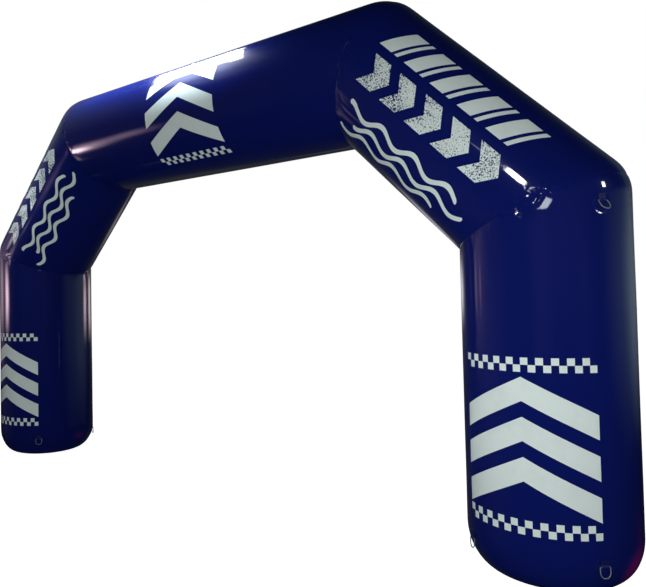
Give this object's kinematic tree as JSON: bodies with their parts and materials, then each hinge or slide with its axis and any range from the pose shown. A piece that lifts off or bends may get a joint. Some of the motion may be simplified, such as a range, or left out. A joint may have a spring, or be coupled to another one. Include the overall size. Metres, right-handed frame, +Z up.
{
  "type": "inflatable arch",
  "caption": "Free-standing inflatable gateway of air-tight tube panels on rounded bases, angled at the shoulders, with welded pads and rings for guy lines and stakes.",
  "frame": {"origin": "on the floor, midway between the two legs, under the middle of the beam", "axes": "+X across the arch from the left leg to the right leg seen from the front, +Y from front to back, +Z up"},
  "size_m": [6, 0.9204, 3.5],
  "materials": {
    "skin": "glossy coated sheet, welded",
    "pad_skin": "glossy coated sheet",
    "webbing": "matt coated strap",
    "steel": "polished wire"
  },
  "bodies": {
    "root": {"base_left": "skin", "base_right": "skin", "beam": "skin", "leg_left": "skin", "leg_right": "skin", "pad_left_foot_inner_back": "pad_skin", "pad_left_foot_inner_front": "pad_skin", "pad_left_foot_outer_back": "pad_skin", "pad_left_foot_outer_front": "pad_skin", "pad_left_top_back": "pad_skin", "pad_left_top_front": "pad_skin", "pad_right_foot_inner_back": "pad_skin", "pad_right_foot_inner_front": "pad_skin", "pad_right_foot_outer_back": "pad_skin", "pad_right_foot_outer_front": "pad_skin", "pad_right_top_back": "pad_skin", "pad_right_top_front": "pad_skin", "ring_left_foot_inner_back": "steel", "ring_left_foot_inner_front": "steel", "ring_left_foot_outer_back": "steel", "ring_left_foot_outer_front": "steel", "ring_left_top_back": "steel", "ring_left_top_front": "steel", "ring_right_foot_inner_back": "steel", "ring_right_foot_inner_front": "steel", "ring_right_foot_outer_back": "steel", "ring_right_foot_outer_front": "steel", "ring_right_top_back": "steel", "ring_right_top_front": "steel", "shoulder_left": "skin", "shoulder_right": "skin", "tab_left_foot_inner_back": "webbing", "tab_left_foot_inner_front": "webbing", "tab_left_foot_outer_back": "webbing", "tab_left_foot_outer_front": "webbing", "tab_left_top_back": "webbing", "tab_left_top_front": "webbing", "tab_right_foot_inner_back": "webbing", "tab_right_foot_inner_front": "webbing", "tab_right_foot_outer_back": "webbing", "tab_right_foot_outer_front": "webbing", "tab_right_top_back": "webbing", "tab_right_top_front": "webbing"}
  },
  "joints": []
}
